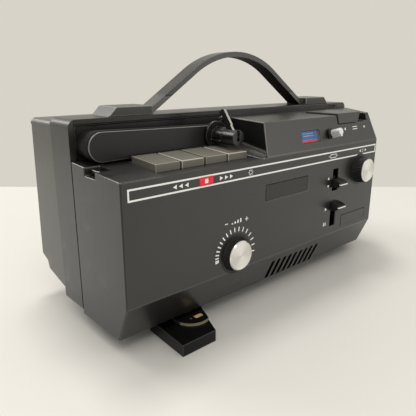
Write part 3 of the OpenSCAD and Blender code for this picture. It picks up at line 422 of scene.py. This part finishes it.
for tick in range(TICKS):
    turn = 187 - 195 * (tick / (TICKS - 1)) ** 1.4
    x = SCALE_X + SCALE_RADIUS * math.cos(math.radians(turn))
    y = SCALE_Y + SCALE_RADIUS * math.sin(math.radians(turn))
    ink_bar(white_marks, control_sheet, x - 1.8, y - 0.5, x + 1.8, y + 0.5, turn)
ink_bar(white_marks, control_sheet, 87.0, 67.7, 90.0, 68.4)
ink_bar(white_marks, control_sheet, 108.5, 67.7, 112.0, 68.4)
ink_bar(white_marks, control_sheet, 109.9, 66.3, 110.6, 69.8)
for step in range(4):
    ink_bar(white_marks, control_sheet, 94.0 + 3 * step, 66.6, 95.4 + 3 * step, 67.6 + 0.75 * step)
for y, turn in ((83.4, 0), (76.5, 180)):
    ink_spot(white_marks, control_sheet, 218.8, y, 3.4, 3.0, 3, turn)
ink_spot(white_marks, control_sheet, 217.4, 54.2, 4.0, 3.6, 3, -90)
for x in (215.2, 217.8):
    ink_bar(white_marks, control_sheet, x, 38.0, x + 1.2, 41.4)
for x, turn in ((245.7, 90), (279.4, -90)):
    ink_spot(white_marks, panel_sheet, x, 14.2, 3.4, 3.2, 3, turn)
for y in (12.8, 15.0):
    ink_bar(white_marks, panel_sheet, 258.5, y, 266.5, y + 0.7)
printed("white_marks", white_marks, "#fffdf7", "#f6f3ea")

stop_field = bmesh.new()
ink_bar(stop_field, control_sheet, 62.6, 101.0, 75.0, 107.3)
printed("stop_field", stop_field, "#f93444", "#ea2c3c")
stop_mark = bmesh.new()
ink_bar(stop_mark, control_sheet @ Matrix.Translation((0, 0, INK)), 67.3, 102.6, 70.3, 105.7)
printed("stop_mark", stop_mark, "#fbf7ee", "#efeade")

# Bare plates: a satin black plate at the front's right, and a charcoal plate over an unused opening, both
# let flush into the control face and held by adhesive.
satin_black = moulding("satin_black_plate", "#232322", "#2c2c2a", 0.36, 0.5, 0.01)
finished("bare_name_plate", softened("name_plate", 0.25), "body", "black_plastic", satin_black, "name_plate")
finished("bare_cover_plate", softened("blank_cover", 0.25), "body", "case_plastic", charcoal, "blank_cover")


# Piano keys: four satin grey-olive mouldings with slightly rounded edges, whose rounds are painted lighter
# as a painted highlight, side by side in a well, over a cream switch block whose bores guide their stems.
def carried(material, *nodes):
    """Gives a finish to CAD nodes whose shape stays."""
    for node in nodes:
        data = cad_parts[node].data
        data.materials.clear()
        data.materials.append(material)


olive = moulding("olive_key_moulding", "#6b685d", "#767266", 0.28, 0.4, 0.008, 0.6)
# The keys' rounds: polished, their colour painted lighter as a painted highlight.
polished_olive_highlight = moulding("polished_olive_edge_painted_highlight", "#b3ad9c", "#c2bcab", 0.2, 0.4, 0.004, 0.7)
for key in ("reverse", "off", "forward", "lamp"):
    finished("piano_key_" + key, softened("key_" + key, 0.6, rim=1), key + "_key", "key_plastic", olive,
             "key_" + key, rim=polished_olive_highlight)
switch_cream = moulding("switch_cream_moulding", "#c9c2ac", "#d6d0bc", 0.5, 0.5, 0.02)
carried(switch_cream, "key_switch")


# Knobs: black skirts moulded with fine flutes, whose shafts pass through the wall, each with a turned
# aluminium disc glued into its front, its metal carrying a painted conic highlight, and a thin black ring on
# the face round its rim as painted shadow of the gap round the knob.
def spun(profile, centre, steps):
    """Turns a profile of radius and depth round an axis along Y."""
    form = bmesh.new()
    points = []
    for radius, depth in profile:
        points.append(form.verts.new((centre.x + radius * MM, face + depth * MM, centre.z)))
    edges = [form.edges.new(pair) for pair in zip(points, points[1:])]
    bmesh.ops.spin(form, geom=points + edges, cent=centre, axis=(0, 1, 0), angle=math.tau, steps=steps,
                   use_merge=True)
    bmesh.ops.remove_doubles(form, verts=form.verts, dist=0.004 * MM)
    bmesh.ops.recalc_face_normals(form, faces=form.faces)
    return form


def axes(finish, vector):
    """The three readings of a vector."""
    split = finish.tree.nodes.new("ShaderNodeSeparateXYZ")
    finish.feed(split.inputs[0], vector)
    return [Reading(finish, split.outputs[i]) for i in range(3)]


def turned_metal(name, centre, tone, roughness, pitch, depth):
    """Metal faced on a lathe: fine rings about an axis along Y, over a soft drift of tone, with a painted
    conic highlight of bright and dark wedges round the axis.
    """
    metal = Finish(name, Metallic=1.0)
    arm = metal.node("ShaderNodeVectorMath", {"operation": "SUBTRACT"}, {0: metal.place, 1: centre})
    flat = metal.node("ShaderNodeVectorMath", {"operation": "MULTIPLY"}, {0: arm, 1: (1, 0, 1)})
    radius = metal.node("ShaderNodeVectorMath", {"operation": "LENGTH"}, {0: flat}, 1)
    ring = metal.node("ShaderNodeMath", {"operation": "SINE"}, {0: radius * (math.tau / (pitch * MM))})
    drift = metal.noise(9 * MM, 3)
    x, y, z = axes(metal, arm)
    angle = metal.node("ShaderNodeMath", {"operation": "ARCTAN2"}, {0: z, 1: x})
    # Two bright and two dark wedges round the axis: a painted conic highlight in the colour, in place of the
    # light that turned metal reflects.
    painted_conic_highlight = metal.node("ShaderNodeMath", {"operation": "SINE"}, {0: angle * 2 + 0.9})
    other_tone = tuple(c * 0.72 for c in rgb(tone)[:3]) + (1,)
    tone_and_painted_highlight = drift * 0.4 + ring * 0.2 + painted_conic_highlight * 0.5 + 0.1
    return metal.shine(colour=metal.mix(tone_and_painted_highlight, rgb(tone), other_tone),
                       roughness=roughness + drift * 0.14 + ring * 0.03, height=ring, depth=depth * MM)


# Black for the arm's boss, and for the rings of painted shadow round the knobs.
boss_black_and_shadow_ring = moulding("boss_black_and_shadow_ring_moulding", "#0f0f0f", "#161615", 0.3, 0.4, 0.008)
knob_black = moulding("knob_black_moulding", "#0f0f0f", "#161615", 0.32, 0.4, 0.01)
FLUTE_DEPTH = 0.7
DISC_CHAMFER = 0.8
for knob, flutes, shaft in (("speed", 44, 3), ("focus", 42, 4)):
    low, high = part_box(knob + "_knob")
    cap_low, cap_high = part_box(knob + "_knob_cap")
    centre = Vector(((low[0] + high[0]) / 2, 0, (low[2] + high[2]) / 2))
    rim = (high[0] - low[0]) / 2 / MM
    disc = (cap_high[0] - cap_low[0]) / 2 / MM
    back, nose, cap_nose = ((depth - face) / MM for depth in (high[1], low[1], cap_low[1]))
    skirt = spun(((0, back), (shaft, back), (shaft, -0.3), (rim, -0.3), (rim, -0.9),
                  (rim - 1.35, nose + 0.5), (rim - 1.6, nose), (disc, nose), (0, nose)), centre, flutes * 6)
    for vertex in skirt.verts:
        reach = Vector((vertex.co.x - centre.x, 0, vertex.co.z - centre.z))
        if reach.length > (disc + 0.5) * MM and vertex.co.y < face - 0.5 * MM:
            wave = 0.5 - 0.5 * math.cos(flutes * math.atan2(reach.z, reach.x))
            vertex.co -= reach.normalized() * FLUTE_DEPTH * MM * wave
    # A thin black ring on the face round the knob's rim: painted shadow of the gap round the knob.
    shadow_ring = spun(((rim - 2, -0.05), (rim - 2, -0.25), (rim + 2, -0.25), (rim + 2.4, -0.05), (rim - 2, -0.05)),
                centre, 96)
    finished(knob + "_painted_shadow_ring", shadow_ring, "body", "black_plastic", boss_black_and_shadow_ring)
    finished(knob + "_skirt", skirt, knob + "_dial", "black_plastic", knob_black, knob + "_knob", smooth=50)
    disc_form = spun(((0, nose), (disc, nose), (disc, cap_nose + DISC_CHAMFER),
                      (disc - DISC_CHAMFER, cap_nose), (disc - 1.5, cap_nose),
                      (disc - 1.8, cap_nose + 0.2), (0, cap_nose + 0.2)), centre, 96)
    turned_face = turned_metal(knob + "_turned_face", centre, "#f0efeb", 0.26, 0.45, 0.012)
    polished_rim = turned_metal(knob + "_polished_rim", centre, "#ffffff", 0.12, 0.45, 0.001)
    cap = finished(knob + "_disc", disc_form, knob + "_dial", "spun_aluminium", turned_face,
                   knob + "_knob_cap", smooth=25, rim=polished_rim)
    for side in cap.data.polygons:
        reach = math.hypot(side.center.x - centre.x, side.center.z - centre.z)
        side.material_index = int(reach > (disc - DISC_CHAMFER - 0.1) * MM and side.normal.y < -0.3)


# Levers on the face: black thumb pieces with a white index line moulded across their front ends, on
# stems that pass through slots to slides behind the wall.
def band(finish, reading, low, high, soft):
    """One between two values of a reading, none outside, with a soft edge."""
    return finish.ramp(reading, low - soft, low + soft) * (1 - finish.ramp(reading, high - soft, high + soft))


INDEX_LINE = 0.55 * MM
for lever, body, height in (("frame_lever", "framing", 78), ("still_lever", "still", 56)):
    marked = Finish(lever + "_moulding", Specular_IOR_Level=0.45)
    x, y, z = axes(marked, marked.place)
    level = under + height * MM
    line = band(marked, z, level - INDEX_LINE, level + INDEX_LINE, 0.1 * MM)
    line = line * (1 - marked.ramp(y, face - 8.2 * MM, face - 8.0 * MM))
    grain = marked.noise(0.4 * MM)
    black = marked.mix(grain, rgb("#141413"), rgb("#1b1b1a"))
    thumb = marked.shine(colour=marked.mix(line, black, rgb("#f2efe4")), roughness=0.3 + grain * 0.15,
                         height=grain, depth=0.01 * MM)
    finished(lever + "_thumb", softened(lever, 0.5), body, "black_plastic", thumb, lever)

# Format window: a printed card behind a clear pane in the leaning panel, and beside it the selector, a
# chromed pointer knob on a black collar.
card = Finish("format_card", Specular_IOR_Level=0.3, Roughness=0.55)
on_card = card.node("ShaderNodeMapping", {"vector_type": "TEXTURE"}, {
    "Vector": card.place, "Location": (left, face, under + LEDGE_HEIGHT),
    "Rotation": (math.pi / 2 - math.atan(PANEL_LEAN), 0, 0)})
x, y, z = axes(card, on_card)
stripe = 1 - card.ramp(y, 8.8 * MM, 9.0 * MM)
lines = band(card, y, 12.2 * MM, 13.0 * MM, 0.1 * MM) + band(card, y, 14.2 * MM, 15.0 * MM, 0.1 * MM)
rows = band(card, x, 183.0 * MM, 197.5 * MM, 0.1 * MM) * lines
card_tone = card.mix(card.noise(5 * MM, 3), rgb("#1c84d8"), rgb("#2a92e2"))
card_tone = card.mix(stripe, card_tone, rgb("#ee343c"))
carried(card.shine(colour=card.mix(rows, card_tone, rgb("#dfe3e4"))), "format_label")
card_mask = bmesh.new()
ink_bar(card_mask, panel_sheet @ Matrix.Translation((0, 0, -2.0)), 201.9, 7.0, 205.2, 16.5)
printed("card_mask", card_mask, "#0c0c0c", "#141414")
pane = Finish("clear_acrylic", Base_Color=(0.93, 0.95, 0.96, 1), IOR=1.49, Alpha=0.05)
carried(pane.shine(roughness=0.03 + pane.ramp(pane.noise(6 * MM, 4), 0.5, 0.8) * 0.1), "format_window")
collar = moulding("collar_black_moulding", "#0b0b0b", "#121212", 0.34, 0.3, 0.01)
finished("selector_collar", softened("selector_base", 0.45), "body", "black_plastic", collar, "selector_base")


def bright_metal(name, tone, other_tone, roughness, size, stretch=(1, 1, 1), depth=0.004, metallic=1.0):
    """Plated or drawn metal: clouds of tone, and lines where the metal was drawn or brushed."""
    metal = Finish(name, Metallic=metallic)
    cloud = metal.noise(12 * MM, 3)
    lines = metal.noise(size * MM, 3, stretch)
    return metal.shine(colour=metal.mix(cloud * 0.5 + lines * 0.5, rgb(tone), rgb(other_tone)),
                       roughness=roughness + lines * 0.12, height=lines, depth=depth * MM)


chrome = bright_metal("bright_chrome", "#dcdcda", "#c8c8c6", 0.08, 1.0)
plated = bright_metal("plated_knob", "#f2f2f0", "#dededc", 0.32, 0.5, depth=0.03, metallic=0.45)
finished("selector_pointer", softened("selector_knob", 0.4), "selector", "chrome", plated, "selector_knob")
finished("loop_slide_cap", softened("loop_lever", 0.45), "loop", "case_plastic", charcoal, "loop_lever")

# Reel arm: a black hollow moulding with a flat cover whose rounded edge is painted lighter as a painted
# highlight, turning on a stout pivot in the bulkhead, with a fixed core, a turning ribbed hub and a chromed
# latch at its end, whose flat side faces are painted a darker steel as a painted dark reflection.
arm_matt = moulding("arm_matt_moulding", "#0b0b0b", "#111110", 0.62, 0.4, 0.01, 0.2)
arm_black = moulding("arm_black_moulding", "#0f0f0f", "#161616", 0.34, 0.4, 0.008, 0.5)
# The cover's rounded edge is painted lighter as a painted highlight.
arm_edge_highlight = moulding("cover_edge_painted_highlight", "#6f6d68", "#83817b", 0.25, 0.4, 0.005, 0.7)
finished("arm_channel", softened("reel_arm", 0.7), "arm", "black_plastic", arm_matt, "reel_arm")
finished("arm_lid", softened("arm_cover", 0.45, rim=1), "arm", "black_plastic", arm_black, "arm_cover",
         rim=arm_edge_highlight)
finished("arm_boss", softened("arm_pivot", 0.6), "body", "black_plastic", boss_black_and_shadow_ring, "arm_pivot")
hub_black = moulding("hub_black_moulding", "#0e0e0e", "#161615", 0.18, 0.6, 0.02, 0.7)
finished("ribbed_hub", softened("reel_spindle", 0.4), "spindle", "black_plastic", hub_black, "reel_spindle")
finished("hub_core", softened("spindle_core", 0.5), "arm", "black_plastic", hub_black, "spindle_core")
latch = finished("flip_latch", softened("reel_latch", 0.6), "latch", "chrome", chrome, "reel_latch")
latch.data.materials.append(bright_metal("shaded_latch_steel", "#5a5957", "#444341", 0.3, 0.8, depth=0.02))
# The latch's flat side faces take a darker steel, a painted dark reflection in place of the chrome.
for side in latch.data.polygons:
    side.material_index = int(abs(side.normal.x) > 0.8)

# Film exit: a small black moulded roller that turns on a steel pin, in a notch at the end of the key
# ledge. The motor's and the shutter's shafts are of the same ground steel.
finished("exit_film_roller", softened("exit_roller", 0.4), "roller", "black_plastic", hub_black,
         "exit_roller")
pin_steel = bright_metal("pin_steel", "#b4b4b1", "#9c9c99", 0.2, 0.6)
carried(pin_steel, "roller_pin", "motor_shaft", "main_shaft")

# Carry handle: a flexible strap of grained vinyl with a welted border, its rounded edges painted lighter as
# a painted highlight and its downward faces painted black as painted shade, whose ends go into two charcoal
# blocks on the case's top, their rounded edges painted lighter as a painted highlight too.
vinyl = Finish("grained_vinyl", Specular_IOR_Level=0.8)
pebble = vinyl.node("ShaderNodeTexVoronoi", {"feature": "SMOOTH_F1"},
                    {"Vector": vinyl.place, "Scale": 1 / (0.9 * MM)})
tone = vinyl.noise(22 * MM, 4)
x, y, z = axes(vinyl, vinyl.place)
strap_front, strap_back = (edge[1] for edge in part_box("handle_strap"))
border = band(vinyl, y, strap_front + 1.9 * MM, strap_front + 2.5 * MM, 0.15 * MM)
border = border + band(vinyl, y, strap_back - 2.5 * MM, strap_back - 1.9 * MM, 0.15 * MM)
cuff_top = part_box("handle_block_left")[1][2] + 6 * MM
cuff = 1 - vinyl.ramp(z, cuff_top - 0.2 * MM, cuff_top + 0.2 * MM)
welt = band(vinyl, z, cuff_top, cuff_top + 0.8 * MM, 0.2 * MM)
grained = vinyl.mix(tone * 0.6 + pebble * 0.4, rgb("#2b2a28"), rgb("#201f1d"))
covering = vinyl.shine(colour=vinyl.mix(cuff, grained, rgb("#4f4e4a")), roughness=0.26 + pebble * 0.12,
                       height=pebble * 0.2 - border - welt, depth=0.4 * MM)
# The strap's rounded edges are painted lighter as a painted highlight.
strap_edge_highlight = moulding("polished_strap_edge_painted_highlight", "#45443f", "#55534e", 0.24, 0.5, 0.01, 0.8)
strap = finished("carry_strap", softened("handle_strap", 0.9, rim=1), "body", "black_plastic", covering,
                 "handle_strap", rim=strap_edge_highlight)
strap.data.materials.append(moulding("strap_underside_painted_shade", "#070707", "#0c0c0b", 0.6, 0.5, 0.02, 0.2))
# The strap's downward faces are painted black as painted shade under it.
for side in strap.data.polygons:
    if side.normal.z < -0.3 and side.material_index == 0:
        side.material_index = 2
block_grey = moulding("block_charcoal_moulding", "#222220", "#2a2a28", 0.28, 0.4, 0.003, 0.7)
# The blocks' rounded edges are painted lighter as a painted highlight.
polished_block_highlight = moulding("polished_block_edge_painted_highlight", "#75746d", "#83827a", 0.2, 0.4, 0.004, 0.9)
for side in ("left", "right"):
    finished("strap_block_" + side, softened("handle_block_" + side, 0.7, rim=1), "body", "case_plastic",
             block_grey, "handle_block_" + side, rim=polished_block_highlight)

# Feet: a glossy black foot that swings out from under the front, with a brass detent strip and a rivet,
# its rounded edges painted lighter as a painted highlight and its brass-lined step painted as a bright
# highlight line over a darker face of painted shade, and three moulded rubber feet.
gloss = Finish("gloss_black_moulding", Coat_Weight=0.1, Coat_Roughness=0.08, Specular_IOR_Level=0.2)
swirl = gloss.noise(14 * MM, 4)
foot_black = gloss.shine(colour=gloss.mix(swirl, rgb("#040404"), rgb("#090909")),
                         roughness=0.12 + swirl * 0.12, height=gloss.noise(3 * MM, 2), depth=0.02 * MM)
# The foot's rounded edges are painted lighter as a painted highlight.
foot_edge_highlight = moulding("polished_foot_edge_painted_highlight", "#3c3c3e", "#4a4a4c", 0.15, 0.4, 0.004, 0.8)
foot = finished("swing_out_foot", softened("swing_foot", 0.4, rim=1), "foot", "black_gloss", foot_black,
                "swing_foot", rim=foot_edge_highlight)
# The brass-lined step round the pivot: its rounds painted light as a painted highlight line, its upright face
# a darker olive brass as painted shade.
foot.data.materials.append(moulding("step_edge_painted_highlight", "#d8cfb0", "#e4dcc0", 0.3, 0.6, 0.02))
foot.data.materials.append(moulding("brass_step_painted_shade", "#6a6246", "#7c7454", 0.35, 0.6, 0.02))
STEP_CENTRE = Vector((62, 11)) * MM
STEP_RADIUS = 15 * MM
for side in foot.data.polygons:
    spot = side.center - Vector((left, face, under))
    at_step = abs((spot.xy - STEP_CENTRE).length - STEP_RADIUS) < 0.7 * MM
    in_front = spot.y < 6 * MM and spot.z > -5.5 * MM
    if at_step and in_front and abs(side.normal.z) < 0.9:
        side.material_index = 3 if abs(side.normal.z) < 0.2 else 2
rivet = bmesh.new()
bmesh.ops.create_uvsphere(rivet, u_segments=24, v_segments=12, radius=1.0 * MM, matrix=Matrix.Translation(
    (left + 57.5 * MM, face + 5.5 * MM, under - 1.0 * MM)) @ Matrix.Diagonal((1, 1, 0.45, 1)))
finished("foot_rivet", rivet, "foot", "steel", bright_metal("rivet_steel", "#77766f", "#5f5e58", 0.3, 0.5))
carried(bright_metal("black_oxide_steel", "#2a2a29", "#1e1e1d", 0.35, 0.6), "foot_pivot")
carried(bright_metal("stamped_brass", "#ffdda6", "#f0cb90", 0.4, 0.8, (1, 8, 1), metallic=0.35),
        "foot_detent", "shaft_bearings")
rubber = Finish("moulded_rubber", Specular_IOR_Level=0.25)
bloom = rubber.noise(5 * MM, 4)
bloomed = rubber.mix(rubber.ramp(bloom, 0.4, 0.8), rgb("#191918"), rgb("#2a2a28"))
soft_rubber = rubber.shine(colour=bloomed, roughness=0.7 + bloom * 0.2,
                           height=rubber.noise(0.6 * MM), depth=0.03 * MM)
finished("stand_feet", softened("rubber_feet", 1.2, 3), "body", "rubber", soft_rubber, "rubber_feet")
carried(soft_rubber, "drive_belt")

# Back of the case: four steel screws, deep in the rear cover, that hold the shells together, and the
# recessed mains inlet, a black moulding.
carried(bright_metal("screw_steel", "#8f8f8c", "#6f6f6c", 0.3, 0.5), "case_screws")
carried(collar, "mains_inlet")

# Optics: a black barrel with two coated lenses in an aluminium mount, the film gate with its sprung plate,
# a film sprocket, and a mirror lamp in a ceramic socket on a steel holder.
carried(knob_black, "lens_barrel", "film_sprocket")
coating = Finish("coated_lens_glass", Base_Color=(0.95, 0.97, 1.0, 1), Transmission_Weight=1.0, IOR=1.52,
                 Coat_Weight=0.5)
carried(coating.shine(roughness=0.01 + coating.ramp(coating.noise(4 * MM, 3), 0.6, 0.9) * 0.05), "lens_glass")
carried(bright_metal("cast_aluminium", "#b5b4af", "#a09f9a", 0.38, 0.5, depth=0.02), "lens_mount")
carried(chrome, "film_gate")
sheet_steel = bright_metal("rolled_steel_sheet", "#a3a3a0", "#8c8c89", 0.32, 0.4, (1, 1, 12))
carried(sheet_steel, "mechanism_plate", "pressure_plate", "lamp_holder", "motor_bracket", "shutter")
mirror = Finish("silvered_reflector", Metallic=1.0)
haze = mirror.noise(7 * MM, 3)
carried(mirror.shine(colour=mirror.mix(haze, rgb("#e6e4de"), rgb("#d8d6d0")), roughness=0.05 + haze * 0.08),
        "lamp_reflector")
carried(moulding("glazed_ceramic", "#d9d3c2", "#e4dfd0", 0.3, 0.8, 0.02), "lamp_socket")

# Drive and electrics: a steel-cased motor with a plastic fan, a transformer of stacked iron and enamelled
# copper, the speed control and a paper-laminate circuit board, all fixed inside the case.
carried(bright_metal("motor_can_steel", "#9b9b98", "#82827f", 0.3, 0.5, (10, 1, 1)), "motor")
carried(knob_black, "cooling_fan")
iron = Finish("stacked_iron", Metallic=0.8)
x, y, z = axes(iron, iron.place)
stack = iron.node("ShaderNodeMath", {"operation": "SINE"}, {0: y * (math.tau / (1.0 * MM))})
rust = iron.noise(6 * MM, 4)
carried(iron.shine(colour=iron.mix(rust, rgb("#4a4744"), rgb("#5d5853")), roughness=0.45 + stack * 0.1,
                   height=stack, depth=0.1 * MM), "transformer_core")
copper = Finish("enamelled_copper", Metallic=0.9, Coat_Weight=0.5)
x, y, z = axes(copper, copper.place)
wire = copper.node("ShaderNodeMath", {"operation": "SINE"}, {0: z * (math.tau / (0.8 * MM))})
enamel = copper.mix(wire * 0.5 + 0.5, rgb("#6e3a1c"), rgb("#b0622f"))
carried(copper.shine(colour=enamel, roughness=0.3 - wire * 0.05, height=wire, depth=0.2 * MM),
        "transformer_coil")
board = Finish("paper_laminate", Specular_IOR_Level=0.4)
weave = board.noise(1.2 * MM, 3, (4, 1, 1))
carried(board.shine(colour=board.mix(weave, rgb("#8a6a35"), rgb("#9c7b42")), roughness=0.42 + weave * 0.15,
                    height=weave, depth=0.02 * MM), "circuit_board", "speed_control")
